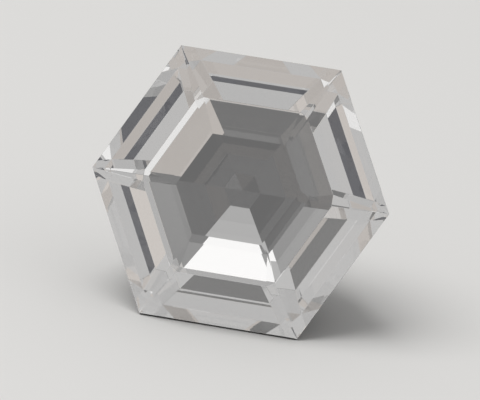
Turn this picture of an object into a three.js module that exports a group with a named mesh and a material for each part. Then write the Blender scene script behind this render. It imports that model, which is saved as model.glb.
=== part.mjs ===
// A loose sapphire in a hexagonal step cut, lying on one facet of its pavilion.
// Millimetres and degrees, +Z up. The origin is on the surface that the stone rests on,
// under the middle of the stone's bounding box, and the table faces -Y and up.
import * as THREE from 'three';
import { ConvexGeometry } from 'three/addons/geometries/ConvexGeometry.js';

// The stone's own frame has +Z through the table and the girdle's upper edge at height 0.
// The six sides, clockwise as seen from the table: the way that each side faces, and
// how far its edges stand from the stone's axis at the girdle and at the crown's three
// upper rings. A hand-cut stone is a little uneven.
const sides = [
  { faces: 90.46, girdle: 4.02, breast: 2.59, shoulder: 1.69, table: 1.56 },
  { faces: 27.77, girdle: 3.99, breast: 2.60, shoulder: 1.90, table: 1.72 },
  { faces: -27.01, girdle: 3.97, breast: 2.46, shoulder: 1.80, table: 1.46 },
  { faces: -90.0, girdle: 4.05, breast: 2.66, shoulder: 1.72, table: 1.47 },
  { faces: -152.82, girdle: 3.96, breast: 2.64, shoulder: 1.89, table: 1.72 },
  { faces: 153.23, girdle: 3.97, breast: 2.65, shoulder: 1.83, table: 1.64 },
];
const girdleThickness = 0.12;

// The crown's rings of edges: which of the sides' distances each takes, its height, and
// how deep its corners are cut back.
const crownRings = [
  { edge: 'breast', height: 0.715, cornerCut: 0.087 },
  { edge: 'shoulder', height: 0.840, cornerCut: 0.014 },
  { edge: 'table', height: 0.866, cornerCut: 0 },
];

// The pavilion's steps, from the girdle down: each step's slope from the level of the
// girdle, and the size of the ring where it ends against the girdle's. The last one ends
// in the point.
const pavilionSteps = [
  { slope: 70.8, endScale: 0.754 },
  { slope: 37.4, endScale: 0.57 },
  { slope: 26.0, endScale: 0.332 },
  { slope: 25.6, endScale: 0.123 },
  { slope: 17.5, endScale: 0 },
];
const culetShift = [0.03, 0.04];

// The facet that the stone lies on: which side of the girdle it is under, and which step.
const restingSide = 3;
const restingStep = 0;

const stoneColour = '#dcd8d4';
const stoneRoughness = 0.02;

const radians = THREE.MathUtils.degToRad;

// The outward direction of a side, as a flat vector.
function facing(side) {
  return new THREE.Vector2(Math.cos(radians(side.faces)), Math.sin(radians(side.faces)));
}

// The point where the lines of two sides cross. A line stands square to its facing
// direction, at its own distance from the axis.
function crossing(lineA, lineB) {
  const spread = lineA.facing.cross(lineB.facing);
  return new THREE.Vector2(
    (lineA.distance * lineB.facing.y - lineB.distance * lineA.facing.y) / spread,
    (lineB.distance * lineA.facing.x - lineA.distance * lineB.facing.x) / spread,
  );
}

// The lines of a crown ring's six sides, or of the girdle's.
function crownLines(edge) {
  return sides.map((side) => ({ facing: facing(side), distance: side[edge] }));
}

// The lines of a pavilion ring's six sides: the girdle's outline, scaled about the point
// of the pavilion, so its edges run parallel to the girdle's.
function pavilionLines(scale) {
  const middle = new THREE.Vector2(...culetShift);
  return crownLines('girdle').map((line) => {
    const middleReach = middle.dot(line.facing);
    return { facing: line.facing, distance: middleReach + scale * (line.distance - middleReach) };
  });
}

// The directions in which the girdle's corners lie. Corner n is between side n and the next.
const cornerDirections = crownLines('girdle').map((line, index, lines) => (
  crossing(line, lines[(index + 1) % lines.length]).normalize()
));

// A ring's corner points at one height. A cut corner gives two points, where the two
// sides meet the line of the corner facet.
function ringPoints(lines, height, cornerCut = 0) {
  return lines.flatMap((line, index) => {
    const next = lines[(index + 1) % lines.length];
    const corner = crossing(line, next);
    if (cornerCut === 0) return [new THREE.Vector3(corner.x, corner.y, height)];
    const direction = cornerDirections[index];
    const cutLine = { facing: direction, distance: corner.dot(direction) - cornerCut };
    return [crossing(line, cutLine), crossing(cutLine, next)]
      .map((point) => new THREE.Vector3(point.x, point.y, height));
  });
}

// The pavilion's rings from the girdle's lower edge to the point, with their heights
// worked out from the slopes of the steps.
function pavilionRings() {
  const pointLines = pavilionLines(0);
  const spans = crownLines('girdle').map((line, index) => line.distance - pointLines[index].distance);
  const meanReach = spans.reduce((sum, span) => sum + span, 0) / spans.length;
  const rings = [{ lines: pavilionLines(1), height: -girdleThickness }];
  let scale = 1;
  for (const step of pavilionSteps) {
    const drop = meanReach * (scale - step.endScale) * Math.tan(radians(step.slope));
    scale = step.endScale;
    rings.push({ lines: pavilionLines(scale), height: rings.at(-1).height - drop });
  }
  return rings;
}

// The normal of one pavilion facet, pointing out of the stone.
function pavilionFacetNormal(side, step) {
  const [upper, lower] = pavilionRings().slice(step, step + 2);
  const direction = upper.lines[side].facing;
  const run = upper.lines[side].distance - lower.lines[side].distance;
  const drop = upper.height - lower.height;
  return new THREE.Vector3(direction.x * drop, direction.y * drop, -run).normalize();
}

// The stone is the convex form around all its corner points.
function stoneGeometry() {
  const crown = crownRings.flatMap((ring) => (
    ringPoints(crownLines(ring.edge), ring.height, ring.cornerCut)
  ));
  const girdle = ringPoints(crownLines('girdle'), 0);
  const [lowerGirdle, ...steps] = pavilionRings();
  const point = steps.pop();
  const pavilion = [lowerGirdle, ...steps].flatMap((ring) => ringPoints(ring.lines, ring.height));
  const culet = new THREE.Vector3(...culetShift, point.height);
  return new ConvexGeometry([...crown, ...girdle, ...pavilion, culet]);
}

// Turns the stone's resting facet down, and sets the stone on the surface, centred.
function layOnFacet(mesh) {
  const down = new THREE.Vector3(0, 0, -1);
  mesh.quaternion.setFromUnitVectors(pavilionFacetNormal(restingSide, restingStep), down);
  mesh.updateMatrixWorld(true);
  const box = new THREE.Box3().setFromObject(mesh, true);
  const middle = box.getCenter(new THREE.Vector3());
  mesh.position.set(-middle.x, -middle.y, -box.min.z);
}

const material = new THREE.MeshStandardMaterial({
  color: stoneColour,
  roughness: stoneRoughness,
  metalness: 0,
});

const stone = new THREE.Mesh(stoneGeometry(), material);
stone.name = 'sapphire_stone';
layOnFacet(stone);

const part = new THREE.Group();
part.add(stone);

export default part;
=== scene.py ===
"""Looks for the step-cut sapphire: clear crystal on a pale floor in soft studio light.

Metres and +Z up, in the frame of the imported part. The stone lies on one facet of its
pavilion, and the camera looks nearly along the stone's axis, from a little above.
"""

import math

import bmesh
import bpy
import numpy as np
from bpy.props import (
    FloatProperty,
    FloatVectorProperty,
    PointerProperty,
)
from mathutils import Matrix, Vector


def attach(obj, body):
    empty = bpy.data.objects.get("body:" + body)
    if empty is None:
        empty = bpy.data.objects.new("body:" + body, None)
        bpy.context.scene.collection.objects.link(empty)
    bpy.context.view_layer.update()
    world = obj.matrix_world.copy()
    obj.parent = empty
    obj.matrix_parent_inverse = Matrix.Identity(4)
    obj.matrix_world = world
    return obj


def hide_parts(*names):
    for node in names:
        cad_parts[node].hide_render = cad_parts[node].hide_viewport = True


bl_info = {
    "name": "Step-cut sapphire",
    "version": (1, 0, 0),
    "blender": (4, 5, 0),
    "location": "3D View > Sidebar > Sapphire",
    "description": "Clear crystal for the packed sapphire, with its floor, light and camera",
    "category": "Object",
}

STONE = "sapphire_stone"
PIECE = "polished_stone"
MM = 0.001

# Corners closer than this are one corner, and triangles that differ by less than this in
# direction are one facet. Edges between facets are softened from SHARP_EDGE up.
MERGE_REACH = 0.0005 * MM
SAME_FACET = math.radians(0.05)
SHARP_EDGE = math.radians(3.0)

# The floor is a hair below the stone's resting facet, so that they don't share a plane.
FLOOR_GAP = 0.02 * MM

# Half the height of the soft step at the horizon, as the sine of its angle.
HORIZON_BLEND = 0.1

# Light turns many times inside a step-cut stone before it leaves.
CRYSTAL_BOUNCES = 32

SENSOR_MM = 36.0
CAMERA_NEAR, CAMERA_FAR = 0.001, 10.0

# A Mix node has sockets of the same names for each kind of data. These are its colours.
MIX_FIRST, MIX_SECOND, MIX_RESULT = 6, 7, 2

WHITE = "#ffffff"
WARM = "#fff8f2"
COOL = "#eef1ff"

# The soft boxes round the stone: the azimuth and elevation of each one's
# middle and half its width and height, all in degrees, then its level and its tint. Each
# stands a step nearer than the one before it, which it hides where they overlap.
SOFT_BOX_DISTANCE = 4.0
SOFT_BOX_STEP = 0.02
SOFT_BOXES = {
    "front bounce": (-90, -30, 60, 25, 0.5, WARM),
    "left bounce": (180, -40, 35, 25, 0.6, WARM),
    "back right bounce": (40, -50, 20, 20, 0.5, WARM),
    "back window": (90, 15, 15, 5, 1.1, WHITE),
    "low strip": (-45, -5, 40, 10, 0.9, WHITE),
    "shade round the camera": (-80, 15, 20, 10, 0.1, COOL),
}

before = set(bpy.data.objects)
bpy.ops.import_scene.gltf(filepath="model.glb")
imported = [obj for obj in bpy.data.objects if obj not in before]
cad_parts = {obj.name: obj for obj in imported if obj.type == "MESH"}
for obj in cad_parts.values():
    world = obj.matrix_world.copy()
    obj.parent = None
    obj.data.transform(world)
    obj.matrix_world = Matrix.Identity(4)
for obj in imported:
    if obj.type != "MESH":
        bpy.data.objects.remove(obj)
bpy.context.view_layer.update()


def linear_colour(hex_colour):
    """Turns an sRGB hex colour into the linear red, green, blue and alpha that shaders take."""
    codes = [int(hex_colour[i : i + 2], 16) / 255 for i in (1, 3, 5)]
    parts = [c / 12.92 if c <= 0.04045 else ((c + 0.055) / 1.055) ** 2.4 for c in codes]
    return (*parts, 1.0)


def add_node(tree, kind, settings=None, inputs=None, links=None):
    """Adds one node, sets its properties and its unlinked sockets, and links outputs into it."""
    node = tree.nodes.new(kind)
    for name, value in (settings or {}).items():
        setattr(node, name, value)
    for name, value in (inputs or {}).items():
        node.inputs[name].default_value = value
    for name, output in (links or {}).items():
        tree.links.new(output, node.inputs[name])
    return node


def empty_tree(owner):
    """Turns an owner's nodes on, clears them and returns the tree."""
    owner.use_nodes = True
    owner.node_tree.nodes.clear()
    return owner.node_tree


class SapphireCrystalSettings(bpy.types.PropertyGroup):
    """The clear crystal."""

    ior: FloatProperty(
        name="IOR",
        description="Refractive index of corundum",
        default=1.768,
        min=1.3,
        max=2.5,
    )
    roughness: FloatProperty(
        name="Roughness",
        description="Roughness of the polish",
        default=0.0,
        min=0.0,
        max=0.2,
    )
    edge_width: FloatProperty(
        name="Edge width",
        description="Width of the hair-fine flat that the polish leaves along each edge",
        default=0.009 * MM,
        min=0.0,
        max=0.1 * MM,
        subtype="DISTANCE",
        unit="LENGTH",
    )
    tint: FloatVectorProperty(
        name="Tint",
        description="Colour that the crystal gives to light passing through it",
        subtype="COLOR",
        size=3,
        default=linear_colour("#fdfcfb")[:3],
        min=0.0,
        max=1.0,
    )


class SapphireStageSettings(bpy.types.PropertyGroup):
    """The floor, the light and the camera."""

    azimuth: FloatProperty(
        name="Camera azimuth",
        description="Turn of the view round the stone from straight in front, to the right",
        default=math.radians(1.29),
        subtype="ANGLE",
        unit="ROTATION",
    )
    elevation: FloatProperty(
        name="Camera elevation",
        description="Height of the view above the horizon",
        default=math.radians(19.56),
        subtype="ANGLE",
        unit="ROTATION",
    )
    roll: FloatProperty(
        name="Camera roll",
        description="Turn of the camera about its line of sight",
        default=math.radians(8.91),
        subtype="ANGLE",
        unit="ROTATION",
    )
    axis_point: FloatVectorProperty(
        name="Point on the stone's axis",
        description="Where the stone's axis crosses the level of its girdle",
        subtype="TRANSLATION",
        unit="LENGTH",
        size=3,
        default=(-0.017 * MM, -1.362 * MM, 3.855 * MM),
    )
    below_centre: FloatProperty(
        name="Picture's middle below the axis",
        description="How far below the stone's axis the camera looks",
        default=0.258 * MM,
        subtype="DISTANCE",
        unit="LENGTH",
    )
    view_width: FloatProperty(
        name="Width of view",
        description="Width that the picture takes in at the stone",
        default=14.26 * MM,
        subtype="DISTANCE",
        unit="LENGTH",
    )
    lens: FloatProperty(
        name="Lens",
        description="Focal length of the camera in millimetres",
        default=628.0,
        min=50.0,
        max=1000.0,
    )
    floor_size: FloatProperty(
        name="Floor size",
        description="Length of the floor's side",
        default=1.2,
        subtype="DISTANCE",
        unit="LENGTH",
    )
    floor_colour: FloatVectorProperty(
        name="Floor colour",
        description="Colour of the matt pale floor",
        subtype="COLOR",
        size=3,
        default=linear_colour("#d9d8d6")[:3],
        min=0.0,
        max=1.0,
    )
    low_light: FloatVectorProperty(
        name="Light from below",
        description="Light of the room below the horizon",
        subtype="COLOR",
        size=3,
        default=(0.15, 0.15, 0.15),
        min=0.0,
        max=10.0,
    )
    high_light: FloatVectorProperty(
        name="Light from above",
        description="Light of the room above the horizon",
        subtype="COLOR",
        size=3,
        default=(0.5, 0.5, 0.5),
        min=0.0,
        max=10.0,
    )
    soft_box_place: FloatVectorProperty(
        name="Floor soft box",
        description="Where the soft box that lights the floor stands",
        subtype="TRANSLATION",
        unit="LENGTH",
        size=3,
        default=(-0.15, -0.05, 0.35),
    )
    soft_box_size: FloatProperty(
        name="Soft box size",
        description="Width of the soft box that lights the floor",
        default=0.3,
        subtype="DISTANCE",
        unit="LENGTH",
    )
    soft_box_power: FloatProperty(
        name="Soft box power",
        description="Power of the soft box that lights the floor, in watts",
        default=1.0,
        min=0.0,
        max=100.0,
    )


def polished_corundum(settings):
    """Sapphire, a clear corundum, cut flat and polished: bright mirror faces, and light that
    bends and turns back inside, with only a breath of warm colour along its way."""
    material = bpy.data.materials.new("polished clear corundum")
    tree = empty_tree(material)
    crystal = add_node(
        tree,
        "ShaderNodeBsdfPrincipled",
        inputs={
            "Base Color": (*settings.tint, 1.0),
            "Roughness": settings.roughness,
            "IOR": settings.ior,
            "Transmission Weight": 1.0,
        },
    )
    add_node(tree, "ShaderNodeOutputMaterial", links={"Surface": crystal.outputs["BSDF"]})
    return material


def whole_facets(node):
    """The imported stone's corners, merged, and its facets, each as one flat face: triangles
    that lie in one plane are joined."""
    solid = bmesh.new()
    solid.from_mesh(node.data)
    bmesh.ops.remove_doubles(solid, verts=solid.verts, dist=MERGE_REACH)
    bmesh.ops.dissolve_limit(
        solid, angle_limit=SAME_FACET, verts=list(solid.verts), edges=list(solid.edges)
    )
    solid.verts.index_update()
    corners = [tuple(corner.co) for corner in solid.verts]
    facets = [[corner.index for corner in facet.verts] for facet in solid.faces]
    solid.free()
    return corners, facets


def build_stone(settings):
    """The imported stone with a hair-fine flat along every edge between two facets: it takes
    off the edge to the given width, at half the angle between its neighbours."""
    corners, facets = whole_facets(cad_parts[STONE])
    mesh = bpy.data.meshes.new(PIECE)
    mesh.from_pydata(corners, [], facets)
    mesh.materials.append(polished_corundum(settings))
    stone = bpy.data.objects.new(PIECE, mesh)
    bpy.context.scene.collection.objects.link(stone)
    edges = stone.modifiers.new("softened edges", "BEVEL")
    edges.offset_type = "WIDTH"
    edges.width = settings.edge_width
    edges.segments = 1
    edges.limit_method = "ANGLE"
    edges.angle_limit = SHARP_EDGE
    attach(stone, "root")
    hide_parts(STONE)


class SAPPHIRE_OT_crystal(bpy.types.Operator):
    """Build the stone in clear polished crystal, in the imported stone's place."""

    bl_idname = "sapphire.crystal"
    bl_label = "Clear crystal"

    def execute(self, context):
        build_stone(context.scene.sapphire_crystal)
        return {"FINISHED"}


def matt_floor(settings):
    """Matt pale paper: it scatters light evenly and shows no gloss."""
    material = bpy.data.materials.new("matt pale paper")
    tree = empty_tree(material)
    paper = add_node(
        tree,
        "ShaderNodeBsdfPrincipled",
        inputs={
            "Base Color": (*settings.floor_colour, 1.0),
            "Roughness": 0.9,
            "Specular IOR Level": 0.1,
        },
    )
    add_node(tree, "ShaderNodeOutputMaterial", links={"Surface": paper.outputs["BSDF"]})
    return material


def build_floor(settings):
    """A flat square a hair below the stone: corners at plus and minus half its side. The
    crystal doesn't show it by refraction, only by reflection."""
    half = settings.floor_size / 2
    corners = np.array([[-1, -1, 0], [1, -1, 0], [1, 1, 0], [-1, 1, 0]]) * half
    corners[:, 2] = -FLOOR_GAP
    mesh = bpy.data.meshes.new("floor")
    mesh.from_pydata(corners.tolist(), [], [(0, 1, 2, 3)])
    mesh.materials.append(matt_floor(settings))
    floor = bpy.data.objects.new("floor", mesh)
    floor.visible_transmission = False
    bpy.context.scene.collection.objects.link(floor)


def stage_world(settings):
    """Dim light from below the horizon and brighter light above it, with a soft step."""
    world = bpy.data.worlds.new("soft room")
    bpy.context.scene.world = world
    tree = empty_tree(world)
    direction = add_node(tree, "ShaderNodeTexCoord")
    height = add_node(
        tree, "ShaderNodeSeparateXYZ", links={"Vector": direction.outputs["Generated"]}
    )
    above = add_node(
        tree,
        "ShaderNodeMapRange",
        settings={"interpolation_type": "SMOOTHSTEP"},
        inputs={"From Min": -HORIZON_BLEND, "From Max": HORIZON_BLEND},
        links={"Value": height.outputs["Z"]},
    )
    colour = add_node(
        tree,
        "ShaderNodeMix",
        settings={"data_type": "RGBA"},
        inputs={
            MIX_FIRST: (*settings.low_light, 1.0),
            MIX_SECOND: (*settings.high_light, 1.0),
        },
        links={"Factor": above.outputs["Result"]},
    )
    light = add_node(tree, "ShaderNodeBackground", links={"Color": colour.outputs[MIX_RESULT]})
    add_node(tree, "ShaderNodeOutputWorld", links={"Surface": light.outputs["Background"]})


def soft_box_glow(name, level, tint):
    """A soft box's even glow."""
    material = bpy.data.materials.new(name)
    material.cycles.emission_sampling = "NONE"
    tree = empty_tree(material)
    glow = add_node(
        tree,
        "ShaderNodeEmission",
        inputs={"Color": linear_colour(tint), "Strength": level},
    )
    add_node(tree, "ShaderNodeOutputMaterial", links={"Surface": glow.outputs["Emission"]})
    return material


def build_soft_box(index, name, azimuth, elevation, half_width, half_height, level, tint):
    """A flat rectangle square to its direction from the stone: its middle at the box's
    distance, plus and minus the tangents of its half angles along its right and up axes.
    Only the crystal sees it, by reflection and by refraction."""
    turn, rise = math.radians(azimuth), math.radians(elevation)
    out = np.array(
        [math.cos(turn) * math.cos(rise), math.sin(turn) * math.cos(rise), math.sin(rise)]
    )
    right = np.array([-math.sin(turn), math.cos(turn), 0.0])
    up = np.cross(out, right)
    distance = SOFT_BOX_DISTANCE - SOFT_BOX_STEP * index
    signs = np.array([[-1, -1], [1, -1], [1, 1], [-1, 1]])
    reach = signs * np.tan(np.radians([half_width, half_height])) * distance
    corners = out * distance + reach[:, :1] * right + reach[:, 1:] * up
    mesh = bpy.data.meshes.new(name)
    mesh.from_pydata(corners.tolist(), [], [(3, 2, 1, 0)])
    mesh.materials.append(soft_box_glow(name, level, tint))
    box = bpy.data.objects.new(name, mesh)
    box.visible_camera = False
    box.visible_diffuse = False
    box.visible_shadow = False
    box.visible_volume_scatter = False
    bpy.context.scene.collection.objects.link(box)


def floor_light(settings):
    """A wide soft box over the floor, from the camera's left, that the crystal doesn't see."""
    data = bpy.data.lights.new("floor soft box", "AREA")
    data.shape = "DISK"
    data.size = settings.soft_box_size
    data.energy = settings.soft_box_power
    light = bpy.data.objects.new("floor soft box", data)
    place = Vector(settings.soft_box_place)
    light.matrix_world = (
        Matrix.Translation(place) @ place.to_track_quat("Z", "Y").to_matrix().to_4x4()
    )
    light.visible_glossy = False
    light.visible_transmission = False
    bpy.context.scene.collection.objects.link(light)


def camera_axes(settings):
    """The camera's right, up and backward directions, with its roll."""
    turn, height = settings.azimuth, settings.elevation
    back = Vector(
        (math.sin(turn) * math.cos(height), -math.cos(turn) * math.cos(height), math.sin(height))
    )
    level_right = Vector((math.cos(turn), math.sin(turn), 0.0))
    level_up = back.cross(level_right)
    tilt = Matrix.Rotation(settings.roll, 3, back)
    return tilt @ level_right, tilt @ level_up, back


def stage_camera(settings):
    """Looks nearly along the stone's axis from far off, with a little roll."""
    right, up, back = camera_axes(settings)
    distance = settings.lens / SENSOR_MM * settings.view_width
    centre = Vector(settings.axis_point) - up * settings.below_centre
    data = bpy.data.cameras.new("camera")
    data.sensor_width = SENSOR_MM
    data.lens = settings.lens
    data.clip_start, data.clip_end = CAMERA_NEAR, CAMERA_FAR
    data.dof.use_dof = False
    camera = bpy.data.objects.new("camera", data)
    camera.matrix_world = Matrix.Translation(centre + back * distance) @ Matrix(
        (right, up, back)
    ).transposed().to_4x4()
    bpy.context.scene.collection.objects.link(camera)
    bpy.context.scene.camera = camera


def stage_render():
    """Colours as they are, and enough bounces for light that turns many times in the crystal."""
    scene = bpy.context.scene
    scene.view_settings.view_transform = "Standard"
    scene.view_settings.look = "None"
    scene.cycles.max_bounces = CRYSTAL_BOUNCES
    scene.cycles.transmission_bounces = CRYSTAL_BOUNCES
    scene.cycles.glossy_bounces = CRYSTAL_BOUNCES
    scene.cycles.caustics_refractive = False
    scene.cycles.caustics_reflective = False


class SAPPHIRE_OT_stage(bpy.types.Operator):
    """Add the floor, the light and the camera."""

    bl_idname = "sapphire.stage"
    bl_label = "Floor, light and camera"

    def execute(self, context):
        settings = context.scene.sapphire_stage
        build_floor(settings)
        stage_world(settings)
        for index, (name, box) in enumerate(SOFT_BOXES.items()):
            build_soft_box(index, name, *box)
        floor_light(settings)
        stage_camera(settings)
        stage_render()
        return {"FINISHED"}


class SAPPHIRE_PT_panel(bpy.types.Panel):
    """Sidebar panel with the stone's steps and settings."""

    bl_idname = "SAPPHIRE_PT_panel"
    bl_label = "Step-cut sapphire"
    bl_space_type = "VIEW_3D"
    bl_region_type = "UI"
    bl_category = "Sapphire"

    def draw(self, context):
        layout = self.layout
        for operator, group in STEPS:
            box = layout.box()
            box.operator(operator)
            settings = getattr(context.scene, group)
            for name in settings.bl_rna.properties.keys():
                if name not in ("rna_type", "name"):
                    box.prop(settings, name)


STEPS = (
    ("sapphire.crystal", "sapphire_crystal"),
    ("sapphire.stage", "sapphire_stage"),
)

CLASSES = (
    SapphireCrystalSettings,
    SapphireStageSettings,
    SAPPHIRE_OT_crystal,
    SAPPHIRE_OT_stage,
    SAPPHIRE_PT_panel,
)


def register():
    for cls in CLASSES:
        bpy.utils.register_class(cls)
    bpy.types.Scene.sapphire_crystal = PointerProperty(type=SapphireCrystalSettings)
    bpy.types.Scene.sapphire_stage = PointerProperty(type=SapphireStageSettings)


def unregister():
    del bpy.types.Scene.sapphire_stage
    del bpy.types.Scene.sapphire_crystal
    for cls in reversed(CLASSES):
        bpy.utils.unregister_class(cls)


def main():
    register()
    bpy.ops.sapphire.crystal()
    bpy.ops.sapphire.stage()


if __name__ == "__main__":
    main()
